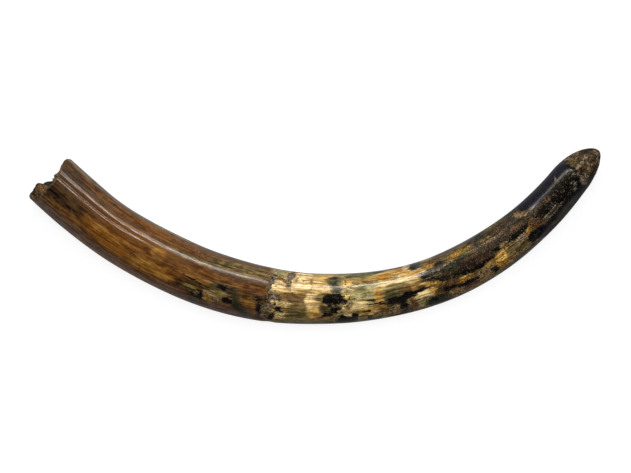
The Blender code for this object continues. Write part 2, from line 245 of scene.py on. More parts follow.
# Each stain in the order of painting: kind, from station, to station, from angle, to angle, and
# how many degrees it climbs over its length.
STAINS = (
    # The root half: brown, with darker runs and an amber middle.
    ("mauve", -10, 330, 4, 27), ("olive", -10, 120, 12, 22), ("olive", 150, 300, 8, 24),
    ("umber", -10, 90, 26, 42), ("chestnut", 60, 280, 27, 42), ("umber", -10, 150, 42, 54),
    ("chestnut", 130, 262, 40, 55), ("amber", 168, 246, 30, 39), ("amber", 104, 320, 84, 132),
    ("honey", 120, 136, 94, 106), ("honey", 150, 186, 95, 99), ("honey", 166, 190, 104, 108),
    ("chestnut", 184, 236, 92, 111), ("honey", 232, 256, 67, 96, 6),
    ("honey", 204, 296, 104, 133, 4), ("chestnut", 190, 214, 121, 132),
    ("chestnut", 254, 292, 88, 96), ("umber", 46, 112, 85, 101), ("mauve", 14, 140, 118, 153),
    ("umber", -4, 62, 84, 98), ("umber", 14, 70, 100, 124), ("soot", 12, 58, 96, 115),
    ("soot", 14, 40, 114, 121), ("black", 16, 42, 99, 107), ("black", 26, 50, 109, 114),
    ("soot", 56, 94, 102, 111), ("black", 64, 86, 104, 109), ("black", -14, -1, 164, 200),
    ("umber", 62, 104, 111, 114), ("honey", 70, 100, 115, 117), ("honey", 78, 196, 124, 127, -2),
    ("chestnut", 108, 250, 130, 148), ("honey", 96, 262, 150, 172), ("mauve", 120, 250, 146, 156),
    ("umber", 284, 320, 106, 128), ("mauve", 252, 392, 124, 166), ("chestnut", 282, 320, 142, 150),
    ("moss", 262, 352, 55, 64), ("olive", 290, 336, 57, 62), ("chestnut", 250, 308, 38, 50),
    ("rust", 306, 334, 32, 50), ("olive", 334, 460, 30, 56), ("moss", 364, 380, 32, 46),
    ("umber", 296, 354, 98, 106, 3), ("black", 304, 340, 100, 104, 3),
    ("umber", 300, 352, 103, 128), ("umber", 318, 358, 112, 164), ("black", 322, 350, 116, 136),
    ("moss", 310, 330, 111, 121), ("sage", 313, 324, 113, 118), ("tan", 324, 335, 120, 128),
    ("chestnut", 312, 396, 70, 88), ("honey", 306, 368, 87, 99, 3), ("honey", 388, 424, 84, 93),
    ("amber", 318, 346, 68, 80), ("moss", 352, 402, 88, 104), ("grit", 356, 405, 88, 104),
    ("black", 362, 388, 91, 100), ("moss", 344, 384, 100, 110), ("tan", 342, 380, 107, 132),
    ("sage", 350, 374, 112, 124), ("sage", 358, 372, 110, 118), ("ochre", 346, 358, 123, 132),
    ("olive", 362, 378, 110, 120, 6), ("black", 376, 398, 112, 126), ("sage", 370, 382, 103, 110),
    ("olive", 382, 398, 103, 114), ("mauve", 378, 436, 124, 160), ("teal", 393, 417, 106, 142, 14),
    ("teal", 408, 430, 134, 152, 8), ("chestnut", 398, 458, 70, 104), ("umber", 366, 456, 66, 72),
    ("umber", 404, 438, 99, 108), ("honey", 410, 440, 108, 122), ("olive", 409, 418, 107, 114),
    ("umber", 414, 440, 120, 132), ("grit", 430, 455, 97, 113), ("black", 434, 447, 99, 109),
    ("grit", 436, 456, 108, 158), ("slate", 446, 456, 114, 146), ("black", 437, 446, 114, 136),
    ("umber", 384, 452, 152, 168),
    # The belt of crust where the brown ends.
    ("sage", 458, 486, 0, 40), ("cream", 464, 500, 38, 60), ("cream", 458, 500, 60, 82),
    ("olive", 466, 496, 78, 102), ("gold", 470, 490, 74, 80), ("slate", 451, 466, 36, 58),
    ("slate", 452, 461, 56, 106), ("slate", 458, 476, 84, 99), ("black", 454, 458, 70, 102),
    ("rust", 463, 475, 42, 52), ("rust", 473, 486, 47, 58), ("slate", 492, 508, 4, 26),
    ("slate", 484, 499, 22, 46), ("slate", 482, 494, 44, 66), ("cream", 458, 492, 99, 112),
    ("gold", 458, 498, 110, 150), ("cream", 470, 494, 124, 142), ("black", 464, 471, 104, 115, 10),
    ("slate", 466, 485, 111, 125), ("black", 468, 482, 113, 122), ("slate", 454, 462, 104, 122),
    ("rust", 452, 462, 122, 150), ("black", 458, 470, 128, 158), ("mauve", 474, 486, 142, 154),
    # The pale middle.
    ("cream", 498, 534, 8, 70), ("gold", 534, 578, 20, 62), ("cream", 536, 574, 42, 56),
    ("gold", 496, 572, 56, 62), ("cream", 496, 608, 60, 73), ("gold", 486, 545, 72, 80),
    ("olive", 488, 530, 76, 100), ("chestnut", 482, 532, 75, 94), ("umber", 488, 520, 79, 88),
    ("umber", 486, 528, 92, 101), ("olive", 488, 532, 99, 138), ("umber", 490, 530, 101, 109),
    ("moss", 492, 530, 112, 124), ("umber", 496, 530, 122, 130), ("moss", 486, 530, 130, 142),
    ("moss", 478, 574, 143, 168), ("umber", 492, 530, 150, 164), ("cream", 522, 546, 70, 116),
    ("gold", 524, 552, 110, 140), ("olive", 536, 560, 76, 94), ("gold", 530, 548, 96, 102),
    ("rust", 544, 556, 131, 146), ("chestnut", 528, 544, 138, 152), ("rust", 531, 536, 38, 58),
    ("umber", 501, 507, 36, 52), ("umber", 514, 519, 42, 47), ("umber", 528, 532, 57, 72),
    ("teal", 562, 586, 26, 64), ("teal", 568, 586, 58, 78), ("moss", 556, 570, 32, 46),
    ("black", 568, 580, 28, 36), ("moss", 548, 566, 84, 122), ("black", 552, 596, 76, 124),
    ("gold", 548, 560, 98, 106), ("teal", 550, 564, 106, 118), ("black", 552, 568, 120, 132),
    ("ochre", 556, 568, 134, 145), ("mauve", 564, 576, 130, 152), ("umber", 552, 578, 146, 166),
    ("slate", 574, 616, 130, 168), ("black", 578, 612, 128, 164), ("sage", 575, 589, 101, 105),
    ("cream", 577, 585, 112, 122), ("cream", 584, 644, 98, 134), ("sage", 583, 606, 6, 62),
    ("gold", 588, 606, 38, 62), ("moss", 594, 606, 24, 34), ("sage", 588, 658, 62, 99),
    ("gold", 590, 602, 76, 90), ("cream", 592, 612, 98, 104), ("rust", 592, 600, 104, 116),
    ("sage", 602, 660, 30, 42), ("moss", 604, 662, 4, 36), ("teal", 642, 664, 0, 28),
    ("olive", 606, 664, 40, 60), ("orange", 614, 640, 44, 52), ("moss", 626, 634, 46, 54),
    ("sage", 610, 640, 56, 63), ("cream", 598, 612, 63, 70), ("cream", 650, 738, 58, 74),
    ("gold", 643, 663, 72, 109, 10), ("orange", 645, 659, 76, 104), ("gold", 612, 662, 112, 139),
    ("umber", 602, 652, 105, 107), ("amber", 636, 668, 113, 119, 3), ("black", 629, 643, 97, 104),
    ("black", 638, 670, 107, 112, 3), ("black", 600, 614, 122, 150), ("moss", 606, 622, 118, 126),
    ("black", 622, 640, 123, 130), ("olive", 612, 634, 132, 164), ("black", 628, 655, 138, 164),
    ("mauve", 640, 650, 140, 150), ("tan", 642, 668, 128, 150),
    ("chestnut", 646, 672, 120, 134, 6), ("sage", 664, 716, 0, 22), ("moss", 668, 712, 8, 20),
    ("gold", 642, 716, 24, 60), ("orange", 646, 684, 36, 54), ("orange", 680, 704, 20, 34),
    ("sage", 682, 704, 44, 58), ("cream", 694, 744, 39, 68), ("gold", 700, 716, 44, 58),
    ("orange", 714, 738, 44, 56), ("sage", 662, 716, 72, 84), ("moss", 660, 706, 80, 104),
    ("umber", 686, 726, 76, 96), ("amber", 698, 716, 76, 86), ("gold", 714, 724, 79, 92),
    ("teal", 716, 748, 4, 42, 10), ("black", 718, 734, 20, 42), ("cream", 706, 719, 4, 40),
    ("gold", 716, 722, 6, 30), ("teal", 662, 694, 98, 122), ("black", 664, 738, 95, 119, -15),
    ("black", 690, 734, 93, 108, -6), ("grit", 662, 702, 118, 168), ("tan", 666, 690, 122, 156),
    ("black", 684, 700, 108, 136), ("tan", 698, 740, 108, 168), ("black", 690, 700, 122, 136),
    ("sage", 714, 738, 122, 152), ("rust", 706, 716, 118, 150), ("grit", 700, 706, 136, 160),
    # The dark half: black and brown, with ochre showing through.
    ("sage", 742, 768, 0, 30), ("olive", 740, 786, 14, 50), ("ochre", 744, 764, 30, 54),
    # The slate from 748 to 776 at 60 to 67 degrees is a painted highlight, a grey glint on the
    # etched surface.
    ("rust", 754, 774, 24, 40), ("black", 732, 786, 54, 76, -8), ("slate", 748, 776, 60, 67),
    ("black", 762, 786, 40, 56), ("umber", 716, 736, 74, 86), ("moss", 738, 792, 72, 90),
    ("grit", 742, 880, 76, 106), ("black", 744, 784, 82, 92, 12), ("gold", 720, 752, 82, 92, 10),
    ("ochre", 742, 764, 90, 100, 8), ("umber", 752, 786, 95, 113), ("tan", 762, 782, 99, 103),
    ("cream", 714, 752, 101, 121), ("gold", 738, 754, 103, 119), ("rust", 750, 770, 112, 134),
    ("teal", 734, 768, 126, 164), ("black", 736, 756, 130, 160), ("tan", 772, 868, 120, 166),
    ("mauve", 798, 826, 130, 148), ("black", 766, 788, 113, 125), ("rust", 774, 798, 100, 114),
    ("ochre", 794, 818, 102, 118), ("gold", 802, 813, 104, 115), ("black", 788, 830, 117, 133),
    ("navy", 812, 824, 118, 130), ("olive", 814, 840, 102, 120), ("tan", 828, 862, 108, 122),
    ("smoke", 776, 862, 4, 36), ("olive", 776, 836, 22, 40), ("tan", 780, 792, 36, 44),
    ("moss", 782, 804, 44, 60, 8), ("ochre", 800, 824, 37, 52), ("moss", 822, 844, 40, 60),
    ("ochre", 790, 804, 56, 64), ("ochre", 836, 856, 39, 48), ("rust", 836, 852, 46, 59),
    # The slate from 772 to 796 at 58 to 64 degrees is a painted highlight, a grey glint on the
    # etched surface.
    ("black", 776, 824, 62, 80), ("teal", 782, 806, 66, 76), ("slate", 772, 796, 58, 64),
    ("moss", 786, 816, 82, 96), ("umber", 814, 884, 60, 79), ("soot", 786, 868, 76, 101),
    ("umber", 836, 860, 84, 94), ("black", 790, 826, 90, 104, 6), ("black", 814, 874, 97, 107, -3),
    ("smoke", 842, 962, 4, 76), ("umber", 868, 930, 36, 50), ("moss", 884, 926, 12, 26),
    # The tan from 856 to 908 at 57 to 64 degrees is a painted highlight, a pale line along the
    # etched surface.
    ("tan", 866, 892, 44, 52), ("rust", 896, 908, 38, 48), ("tan", 856, 908, 57, 64),
    ("grit", 876, 962, 63, 78), ("umber", 912, 948, 66, 78), ("rust", 920, 936, 68, 73),
    ("black", 906, 956, 60, 64), ("tan", 850, 900, 108, 152), ("black", 857, 867, 123, 142),
    ("ochre", 848, 872, 103, 113), ("tan", 872, 914, 84, 100), ("ochre", 864, 904, 96, 140, -6),
    ("gold", 870, 892, 99, 122, -3), ("olive", 892, 914, 96, 142), ("black", 868, 884, 84, 96),
    ("black", 904, 958, 83, 97), ("tan", 904, 950, 104, 150), ("moss", 908, 934, 116, 134),
    ("umber", 906, 962, 140, 170), ("crust", 914, 958, 95, 106), ("ochre", 938, 966, 96, 106),
    ("tan", 946, 970, 38, 63, 14), ("rust", 950, 984, 78, 118), ("tan", 960, 976, 84, 94),
    ("navy", 938, 970, 110, 138), ("teal", 942, 956, 114, 128), ("black", 940, 956, 108, 122),
    ("grit", 962, 1030, 64, 102), ("rust", 1004, 1014, 70, 80), ("black", 978, 1008, 76, 100),
    ("slate", 980, 1028, 101, 115), ("umber", 992, 1012, 104, 112), ("navy", 958, 1086, 4, 65),
    ("black", 1010, 1084, 66, 112), ("slate", 1054, 1076, 108, 122),
    ("slate", 1057, 1070, 90, 104), ("slate", 1043, 1051, 42, 58, -8),
    ("black", 1034, 1060, 84, 112), ("navy", 966, 1086, 118, 176), ("smoke", 972, 1056, 126, 150),
    ("navy", 1058, 1074, 106, 134), ("slate", 1070, 1084, 82, 138), ("black", 1066, 1080, 78, 108),
    # The worn tip.
    ("olive", 1084, 1094, 34, 58), ("rust", 1099, 1105, 50, 58), ("umber", 1084, 1096, 80, 104),
    ("slate", 1082, 1093, 108, 136), ("olive", 1098, 1116, 112, 124),
    ("black", 1108, 1118, 91, 101, 10), ("black", 1121, 1129, 98, 108),
    ("grit", 1086, 1112, 124, 146), ("grit", 1112, 1140, 16, 50),
    # The sides that face away and down: the root half.
    ("umber", -10, 180, 186, 206), ("chestnut", 20, 240, 206, 232), ("soot", 40, 110, 212, 220),
    ("amber", 110, 330, 214, 244, 10), ("honey", 190, 260, 206, 216, 4),
    ("umber", -10, 130, 238, 262), ("honey", 90, 230, 250, 258, 4), ("mauve", 140, 330, 262, 288),
    ("umber", 30, 160, 284, 300), ("soot", 190, 260, 270, 278), ("grit", 236, 262, 291, 300),
    ("chestnut", -10, 300, 300, 330), ("olive", 60, 240, 332, 342), ("umber", 100, 280, 342, 354),
    ("amber", 240, 420, 236, 262, -6), ("mauve", 300, 452, 176, 226),
    ("umber", 330, 376, 196, 214), ("black", 338, 366, 200, 208), ("tan", 372, 404, 206, 226),
    ("olive", 372, 440, 226, 244), ("moss", 330, 382, 246, 264), ("black", 340, 374, 250, 259),
    ("tan", 352, 394, 263, 278), ("teal", 398, 430, 268, 290), ("umber", 300, 440, 284, 312),
    ("chestnut", 320, 454, 306, 352), ("umber", 340, 420, 322, 336),
    # The belt of crust.
    ("grit", 434, 456, 228, 248), ("slate", 446, 466, 170, 206), ("rust", 450, 462, 206, 226),
    ("slate", 450, 470, 224, 262), ("black", 446, 456, 262, 292), ("slate", 454, 474, 268, 296),
    ("umber", 450, 470, 296, 318), ("slate", 448, 466, 318, 350), ("rust", 462, 476, 328, 342),
    ("slate", 446, 460, 346, 358), ("chestnut", 454, 468, 355, 365),
    # The pale middle.
    ("cream", 464, 552, 172, 206), ("moss", 496, 548, 184, 196), ("gold", 484, 600, 206, 232),
    ("umber", 496, 530, 218, 222), ("cream", 472, 540, 232, 268), ("olive", 486, 532, 238, 262),
    ("umber", 492, 524, 246, 250), ("gold", 520, 580, 252, 290), ("cream", 472, 560, 284, 318),
    ("chestnut", 500, 540, 292, 304), ("sage", 474, 600, 318, 358), ("cream", 502, 560, 326, 352),
    ("moss", 544, 566, 222, 246), ("black", 556, 592, 230, 258), ("olive", 540, 562, 264, 284),
    ("teal", 562, 590, 260, 286), ("teal", 550, 588, 192, 222), ("black", 566, 604, 176, 194),
    ("moss", 560, 598, 328, 346), ("rust", 598, 608, 240, 256), ("sage", 604, 660, 230, 266),
    ("gold", 606, 690, 266, 300), ("ochre", 640, 676, 276, 292), ("black", 622, 648, 250, 258),
    ("cream", 652, 722, 244, 268), ("moss", 600, 644, 300, 322), ("tan", 606, 700, 176, 226),
    ("gold", 612, 676, 192, 214), ("black", 660, 716, 208, 230, 8), ("gold", 600, 700, 322, 356),
    ("moss", 624, 668, 334, 350), ("teal", 668, 700, 264, 282), ("black", 676, 742, 286, 304, 12),
    ("teal", 692, 742, 324, 352),
    # The dark half.
    ("umber", 700, 960, 172, 236), ("tan", 716, 780, 186, 206), ("ochre", 788, 828, 198, 212),
    ("rust", 846, 900, 184, 208), ("grit", 718, 880, 232, 262), ("ochre", 742, 776, 250, 268),
    ("black", 772, 830, 242, 256), ("tan", 760, 850, 262, 286), ("teal", 740, 792, 294, 314),
    ("rust", 800, 850, 286, 306), ("ochre", 846, 890, 266, 290, -6), ("gold", 856, 876, 272, 282),
    ("umber", 862, 960, 236, 262), ("moss", 900, 944, 244, 256), ("black", 886, 952, 262, 278),
    ("tan", 900, 950, 284, 300), ("crust", 928, 964, 278, 286), ("sage", 744, 786, 332, 358),
    ("umber", 776, 960, 306, 358), ("ochre", 806, 834, 338, 350), ("tan", 872, 918, 328, 342),
    ("navy", 950, 1100, 176, 240), ("teal", 990, 1044, 198, 214), ("black", 960, 1100, 238, 302),
    ("grit", 982, 1040, 268, 288), ("slate", 1012, 1050, 248, 258), ("navy", 950, 1100, 300, 368),
    ("grit", 1096, 1141, 226, 326),
)

# Where the surface is etched to a grain: from station, to station, from angle, to angle, strength.
ETCHED = (
    (430, 506, 8, 64, 0.6), (430, 500, 94, 166, 0.7), (552, 612, 70, 166, 0.6),
    (582, 608, 24, 62, 0.6), (655, 740, 112, 170, 0.9), (742, 870, 104, 168, 0.9),
    (742, 860, 20, 60, 0.7), (746, 880, 56, 106, 1.0), (850, 972, 6, 108, 1.0),
    (900, 965, 108, 150, 0.7), (950, 1092, 63, 124, 1.0), (980, 1090, 118, 176, 0.3),
    (440, 510, 176, 356, 0.6), (556, 606, 226, 290, 0.6), (650, 740, 176, 306, 0.6),
    (740, 960, 176, 350, 0.8), (960, 1100, 238, 302, 0.9), (960, 1090, 310, 350, 0.3),
)
# Where it is pitted with dark pores.
PITTED = (
    (-10, 470, 6, 170, 0.12), (450, 468, 34, 106, 1.0), (464, 500, 20, 150, 0.6),
    (500, 545, 24, 62, 0.35), (556, 596, 76, 132, 0.9), (588, 610, 24, 118, 1.0),
    (610, 740, 20, 140, 0.2), (740, 860, 36, 122, 0.4), (860, 960, 36, 140, 0.8),
    (960, 1084, 64, 124, 0.9), (1084, 1140, 20, 150, 0.35), (450, 500, 176, 356, 0.7),
    (556, 596, 228, 262, 0.9), (588, 608, 228, 330, 0.9), (610, 960, 176, 356, 0.3),
    (960, 1090, 240, 300, 0.6),
)
MARK_EDGE = (-3, 4)  # both begin this far outside their edge, and are whole this far inside it

# The unstained colour along the tusk: station, and colour in sRGB.
GROUND_COLOURS = (
    (0, (70, 50, 33)), (70, (84, 54, 27)), (140, (101, 62, 23)), (230, (110, 70, 28)),
    (300, (98, 62, 28)), (380, (92, 62, 33)), (452, (98, 66, 34)), (458, (150, 122, 76)),
    (520, (176, 146, 92)), (620, (148, 132, 82)), (700, (120, 98, 58)), (742, (72, 60, 38)),
    (800, (48, 38, 25)), (900, (54, 44, 31)), (960, (40, 34, 27)), (1010, (22, 20, 20)),
    (1080, (15, 15, 17)),
)
GROUND_WAVER = 22  # how far the changes of colour waver, in millimetres
# The deep and the pale tone of the tip, the break, and the painted shade deep in the break and the
# cavity, in sRGB.
TIP_TONES = ((56, 43, 29), (138, 119, 92))
BREAK_TONES = ((30, 20, 13), (126, 96, 64))
BREAK_OCHRE = (158, 112, 62)
HOLLOW_SHADE_TONES = ((14, 17, 11), (58, 62, 48))
# What lies over the other colours: how strongly, and its own colour in sRGB.
# The first of these is a pale line painted along the worn edge of the break: a painted highlight.
WORN_EDGE_HIGHLIGHT_COVER = (0.6, (132, 110, 84))
CREASE_COVER = (0.7, (28, 21, 14))
PORE_COVER = (0.85, (14, 10, 7))
# The last of these is pale specks painted on etched places as glints of light: a painted highlight.
PAINTED_GLINT_COVER = (0.45, (124, 117, 106))
CREASE_WIDTH = 0.06
TIP_ROUGHNESS = 0.72
ETCHED_ROUGHNESS = 0.42
BREAK_ROUGHNESS = 0.78
POLISH_ROUGHNESS = 0.23
SPECULAR = 0.16
SPECULAR_TINT = (255, 232, 200)
# The bump of the materials, in millimetres.
STREAK_HEIGHT = 0.34
PORE_DEPTH = 0.6
LUMP_HEIGHT = 2.4
BREAK_LUMPS = 3.0
BREAK_GRAINS = 1.6

# A paler line is painted along the worn edge of the break as its highlight: how far from the edge
# it reaches, and its angles.
WORN_EDGE_HIGHLIGHT_RUN = (0.6, 3)
WORN_EDGE_HIGHLIGHT_FROM = (30, 52)
WORN_EDGE_HIGHLIGHT_TO = (112, 124)
# The break is painted dark green, as the shade deep in the hollow, from this share of its wall
# inwards, and from less of it
# except at the less shaded places: angle, and how far from it to each side the painted shade begins
# and is whole.
HOLLOW_SHADE_FROM = 0.85
HOLLOW_SHADE_WIDER = 0.6
HOLLOW_SHADE_FADE = 0.15
LESS_SHADED_BREAK = (
    (130, 17, 27),
    (60, 24, 34),
)
# The edge of the worn slope at the tip, in millimetres.
SLOPE_WAVE = 2.5
SLOPE_SIZE = 8
SLOPE_FADE = 12

# The map for baking, in shares of its width and height.
MAP_MARGIN = 0.004
FIRST_STRIP = 0.005
SECOND_STRIP = 0.445
STRIP_HEIGHT = 0.43
THIRD_STRIP = 0.885
THIRD_HEIGHT = 0.11

# ---- The camera, the lights and the floor, in metres and watts ----

FRAME_WIDTH = 1.1358  # what the camera's view is wide at the height of the tusk's middle
TUSK_MIDDLE_HEIGHT = 0.05
CAMERA_AT = (0.0009, -0.0008, 3.5)
SOFT_LIGHT_AT = (0, 0.78, 0.66)
SOFT_LIGHT_AIM = (0, -0.05, 0.05)
SOFT_LIGHT_SIZE = (0.9, 0.17)
SOFT_LIGHT_POWER = 8
FILL_LIGHT_AT = (0, 0, 4.2)
FILL_LIGHT_SIZE = (3, 3)
FILL_LIGHT_POWER = 120
EVEN_LIGHT = 0.06
WHITE = (1, 1, 1, 1)
FLOOR_GREY = (0.32, 0.32, 0.32, 1)
FLOOR_GLOW = 0.8
FLOOR_ROUGHNESS = 0.9
FLOOR_SIZE = 12
FAR_ENOUGH = 100


# ---- The form ----


def through(knots, x):
    """A smooth curve through knots of x and y, level beyond its ends."""
    at, value = np.array(knots, float).T
    slope = np.gradient(value, at)
    slope[1:-1] = (value[2:] - value[:-2]) / (at[2:] - at[:-2])
    x = np.clip(x, at[0], at[-1])
    i = np.clip(np.searchsorted(at, x), 1, len(at) - 1)
    run = at[i] - at[i - 1]
    t = (x - at[i - 1]) / run
    rest = 1 - t
    ends = value[i - 1] * (1 + 2 * t) * rest * rest + value[i] * t * t * (3 - 2 * t)
    return ends + run * (slope[i - 1] * t * rest * rest - slope[i] * t * t * rest)


def around(knots, angle):
    """A smooth closed curve through knots of angle and value."""
    lap = [(a + turn, v) for turn in (-360, 0, 360) for a, v in knots]
    return through(lap, angle % 360)


def smooth(x, start, end):
    t = np.clip((x - start) / (end - start), 0, 1)
    return t * t * (3 - 2 * t)


def turned(a, b):
    """How far angle a is past angle b, from -180 to 180."""
    return (a - b + 180) % 360 - 180


def direction(angle):
    return np.cos(np.radians(angle)), np.sin(np.radians(angle))


def waver(station, angle, along, across, seed):
    """Even noise over the straight tusk, between about -1 and 1, with no seam at 0 degrees."""
    c, s = direction(angle)
    width = MEAN_RADIUS / across
    x = station / along + 0 * angle
    y = c * width
    z = s * width + SEED_STEP * seed
    return np.array([noise.noise(place) for place in zip(x.tolist(), y.tolist(), z.tolist())])


def broken_edge(knots, angle, seed):
    coarse, fine = EDGE_WAVES
    here = np.zeros_like(angle)
    ragged = waver(here, angle, 1, coarse, seed) + EDGE_FINE * waver(here, angle, 1, fine, seed + 1)
    return around(knots, angle) + EDGE_RAGGED * ragged


def ridge(station, angle, at, half_width, length, square=2):
    """1 on a ridge's crest at the root, falling away to its sides and along its length."""
    side = turned(angle, at) / half_width
    return np.exp(-(side**square)) * (1 - smooth(station, EVEN_LENGTH * length, length))


def pit(station, angle, at, angle_at, radius):
    """1 in the middle of a pit, 0 at its edge."""
    across = np.radians(turned(angle, angle_at)) * through(RADIUS, at)
    return 1 - smooth(np.hypot(station - at, across), PIT_FLOOR * radius, radius)


def crack(station, angle, start, angle_start, end, angle_end):
    """1 in the middle of a crack, 0 at its sides."""
    radius = through(RADIUS, start)
    along = np.array((end - start, math.radians(angle_end - angle_start) * radius))
    here = np.stack((station - start, np.radians(turned(angle, angle_start)) * radius))
    share = np.clip(along @ here / (along @ along), 0, 1)
    apart = np.hypot(*(here - along[:, None] * share))
    return 1 - smooth(apart, 0, CRACK_WIDTH)


def relief(station, angle, crust):
    """How far the outside stands proud of its plain radius."""
    height = SWELLS * waver(station, angle, SWELL_LENGTH, SWELL_WIDTH, 3)
    for at, rise, *form in RIBS:
        height += rise * ridge(station, angle, at, *form)
    for at, depth, *form in FURROWS:
        height -= depth * ridge(station, angle, at, *form)
    for at, angle_at, radius, depth in PITS + SMALL_PITS:
        height -= depth * pit(station, angle, at, angle_at, radius)
    for *ends, depth in CRACKS:
        height -= depth * crack(station, angle, *ends)
    half_step = TIP_STEP_RUN / 2
    on_tip = smooth(station, TIP_STEP_AT - half_step, TIP_STEP_AT + half_step)
    on_tip = on_tip * smooth(direction(angle)[1], *TIP_SLOPE_FACES)
    lumps = TIP_LUMPS * waver(station, angle, TIP_LUMP_SIZE, TIP_LUMP_SIZE, 5)
    lumps += TIP_ROUGH * waver(station, angle, TIP_GRAIN, TIP_GRAIN, 11)
    near_pole = smooth(station, TUSK_END - TIP_CALM, TUSK_END)
    height += on_tip * (lumps - TIP_STEP) * (1 - near_pole)
    on_body = 1 - on_tip
    height += on_body * GRAIN * waver(station, angle, GRAIN_LENGTH, GRAIN_WIDTH, 21)
    beside_ribs = smooth(angle, *LINES_FROM) * (1 - smooth(angle, *LINES_TO))
    beside_ribs = beside_ribs * (1 - smooth(station, *LINES_FADE))
    height += beside_ribs * LINES * waver(station, angle, LINES_LENGTH, LINES_WIDTH, 22)
    grains = waver(station, angle, CRUST_SIZE, CRUST_SIZE, 23)
    height += on_body * CRUST_HEIGHT * crust * np.abs(grains)
    on_ground = smooth(-direction(angle)[1], GROUND_FROM, GROUND_FULL)
    return height * (1 - on_ground)


def closing(station, start, roundness):
    """1 up to start, then down to 0 at the very tip, like the side of a rounded cap."""
    t = np.clip((station - start) / (TUSK_END - start), 0, 1)
    return (1 - t**roundness) ** (1 / roundness)


def outside(station, angle, proud):
    """Places on the outside of the straight tusk."""
    radius = through(RADIUS, station)
    shift = smooth(station, POLE_SHIFT, TUSK_END)
    axis_y = -POLE_OUTWARDS * shift
    axis_z = radius + (POLE_HEIGHT - radius) * shift
    c, s = direction(angle)
    to_inside = (radius - axis_y) * closing(station, TIP_INSIDE, TIP_ROUND)
    to_outside = (radius + axis_y) * closing(station, TIP_OUTSIDE, TIP_ROUND)
    reach_y = np.where(c > 0, to_inside, to_outside)
    to_top = (2 * radius - axis_z) * closing(station, TIP_TOP, TIP_TOP_ROUND)
    to_ground = axis_z * closing(station, TIP_UNDER, TIP_ROUND)
    reach_z = np.where(s > 0, to_top, to_ground)
    y = axis_y + c * (reach_y + proud * np.minimum(1, reach_y / radius))
    z = axis_z + s * (reach_z + proud * np.minimum(1, reach_z / radius))
    return np.stack((station, y, z + through(LIFT, station)), 1)


def inside(station, angle, depth):
    """Places this deep under the plain outside."""
    c, s = direction(angle)
    radius = through(RADIUS, station)
    return np.stack((station, c * (radius - depth), radius + s * (radius - depth)), 1)


# ---- Painting ----


def strength_of(places, station, angle):
    """How strongly the surface is marked, from 0 to 1, where it is etched or pitted in places."""
    found = np.zeros_like(station)
    station, angle = wandering(station, angle)
    for *row, strength in places:
        inside_edge = smooth(edge_distance(station, angle, row), *MARK_EDGE)
        found = np.maximum(found, strength * inside_edge)
    return found


def edge_distance(station, angle, row):
    """How far inside a stain's edge each place is, in millimetres, less than 0 outside it."""
    start, end, low, high, *climb = row
    half_length = (end - start) / 2
    half_width = (high - low) / 2
    along = (station - start - half_length) / half_length
    middle = low + half_width
    if climb:
        middle = middle + climb[0] / 2 * np.clip(along, -1, 1)
    across = turned(angle, middle) / half_width
    out = (np.abs(along) ** STAIN_SQUARE + np.abs(across) ** STAIN_SQUARE) ** (1 / STAIN_SQUARE)
    width_mm = math.radians(half_width) * MEAN_RADIUS
    return (1 - out) * min(half_length, width_mm)


def wandering(station, angle):
    """The places from which the stains are read, so that their outlines wander."""
    for n, (length, width, along, across) in enumerate(STAIN_WAVES):
        moved = along * waver(station, angle, length, width, 41 + 2 * n)
        angle = angle + across * waver(station, angle, length, width, 42 + 2 * n)
        station = station + moved
    return station, angle


def painted(station, angle):
    """How much of each stain is where: 0.5 on its edge, 1 well inside, 0 well outside."""
    found = {kind: np.zeros_like(station) for kind in KINDS}
    station, angle = wandering(station, angle)
    for kind, *row in STAINS:
        here = np.clip(0.5 + edge_distance(station, angle, row) / (2 * STAIN_REACH), 0, 1)
        for other in KINDS:
            if other != kind:
                found[other] = np.minimum(found[other], 1 - here)
        found[kind] = np.maximum(found[kind], here)
    return found


# ---- The tusk ----


def deselect():
    """Nothing is selected, in object mode."""
    if bpy.context.mode != "OBJECT":
        bpy.ops.object.mode_set(mode="OBJECT")
    bpy.ops.object.select_all(action="DESELECT")


def plain_places(tusk):
    """Station, reach from the axis and angle of every vertex of the plain tube."""
    places = np.empty(len(tusk.data.vertices) * 3)
    tusk.data.vertices.foreach_get("co", places)
    x, y, z = places.reshape(-1, 3).T
    z = z - PLAIN_RADIUS
    return x, np.hypot(y, z), np.degrees(np.arctan2(z, y)) % 360


def edge_ends(tusk):
    """Station and reach from the axis, in metres, of both ends of every edge."""
    mesh = tusk.data
    station, reach, _ = plain_places(tusk)
    ends = np.empty(len(mesh.edges) * 2, int)
    mesh.edges.foreach_get("vertices", ends)
    ends = ends.reshape(-1, 2)
    return station[ends], reach[ends]


def select_edges(tusk, chosen):
    """Selects, in edit mode, the edges for which chosen is true."""
    bpy.ops.object.mode_set(mode="EDIT")
    bpy.ops.mesh.select_mode(type="EDGE")
    bpy.ops.mesh.select_all(action="DESELECT")
    bpy.ops.object.mode_set(mode="OBJECT")
    tusk.data.edges.foreach_set("select", chosen(*edge_ends(tusk)))
    bpy.ops.object.mode_set(mode="EDIT")


def ring_at(at, reach_at):
    """Chooses the edges of one ring of the plain tube."""

    def chosen(station, reach):
        return (np.abs(station - at) < MM).all(1) & (np.abs(reach - reach_at) < MM).all(1)

    return chosen


def across_wall(station, reach):
    """Chooses the edges that cross the broken wall."""
    return (station < MM).all(1) & (np.ptp(reach, axis=1) > MM)


def cut_lengthwise(tusk, pieces, inner):
    """Cuts the outer or the inner tube across, into this many pieces."""

    def lengthwise(station, reach):
        along = np.abs(station[:, 0] - station[:, 1]) > MM
        return along & ((reach.max(1) < INNER_REACH * PLAIN_RADIUS) == inner)

    select_edges(tusk, lengthwise)
    bpy.ops.mesh.subdivide(number_cuts=pieces - 1)


